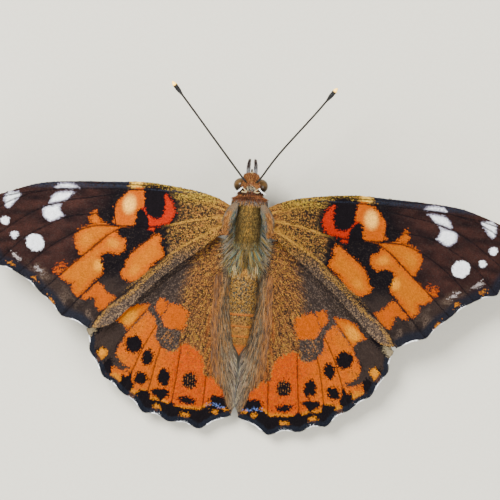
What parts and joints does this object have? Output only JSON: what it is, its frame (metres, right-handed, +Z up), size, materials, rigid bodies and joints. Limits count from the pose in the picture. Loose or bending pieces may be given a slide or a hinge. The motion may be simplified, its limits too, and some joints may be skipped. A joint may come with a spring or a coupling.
{
  "type": "painted lady butterfly",
  "caption": "Life-size butterfly standing with its orange, black and white wings spread flat, feelers forward and coiled tongue under the head.",
  "frame": {"origin": "on the floor, below the middle of the bounding box", "axes": "+Z up, head toward -Y, the animal's left wings toward +X"},
  "size_m": [0.064, 0.0413, 0.0116],
  "materials": {
    "head_fur": "short brown fur",
    "eye": "amber brown facets",
    "palp_fur": "short grey-brown fur",
    "antenna": "black, ringed, cream tip",
    "proboscis": "dark amber",
    "collar_fur": "russet fur",
    "thorax_fur": "olive brown fur",
    "abdomen_scales": "mottled brown scales",
    "tegula": "tan fur",
    "forewing_scales": "matt powdery scales",
    "hindwing_scales": "matt powdery scales",
    "leg": "satin, pale brown scales"
  },
  "bodies": {
    "root": {"abdomen": "abdomen_scales", "antenna_l": "antenna", "antenna_r": "antenna", "collar": "collar_fur", "eye_l": "eye", "eye_r": "eye", "foreleg_l": "leg", "foreleg_r": "leg", "forewing_l": "forewing_scales", "forewing_r": "forewing_scales", "head": "head_fur", "hindleg_femur_l": "leg", "hindleg_femur_r": "leg", "hindleg_tarsus_l": "leg", "hindleg_tarsus_r": "leg", "hindleg_tibia_l": "leg", "hindleg_tibia_r": "leg", "hindwing_l": "hindwing_scales", "hindwing_r": "hindwing_scales", "midleg_femur_l": "leg", "midleg_femur_r": "leg", "midleg_tarsus_l": "leg", "midleg_tarsus_r": "leg", "midleg_tibia_l": "leg", "midleg_tibia_r": "leg", "palp_l": "palp_fur", "palp_r": "palp_fur", "proboscis": "proboscis", "tegula_l": "tegula", "tegula_r": "tegula", "thorax": "thorax_fur"}
  },
  "joints": []
}
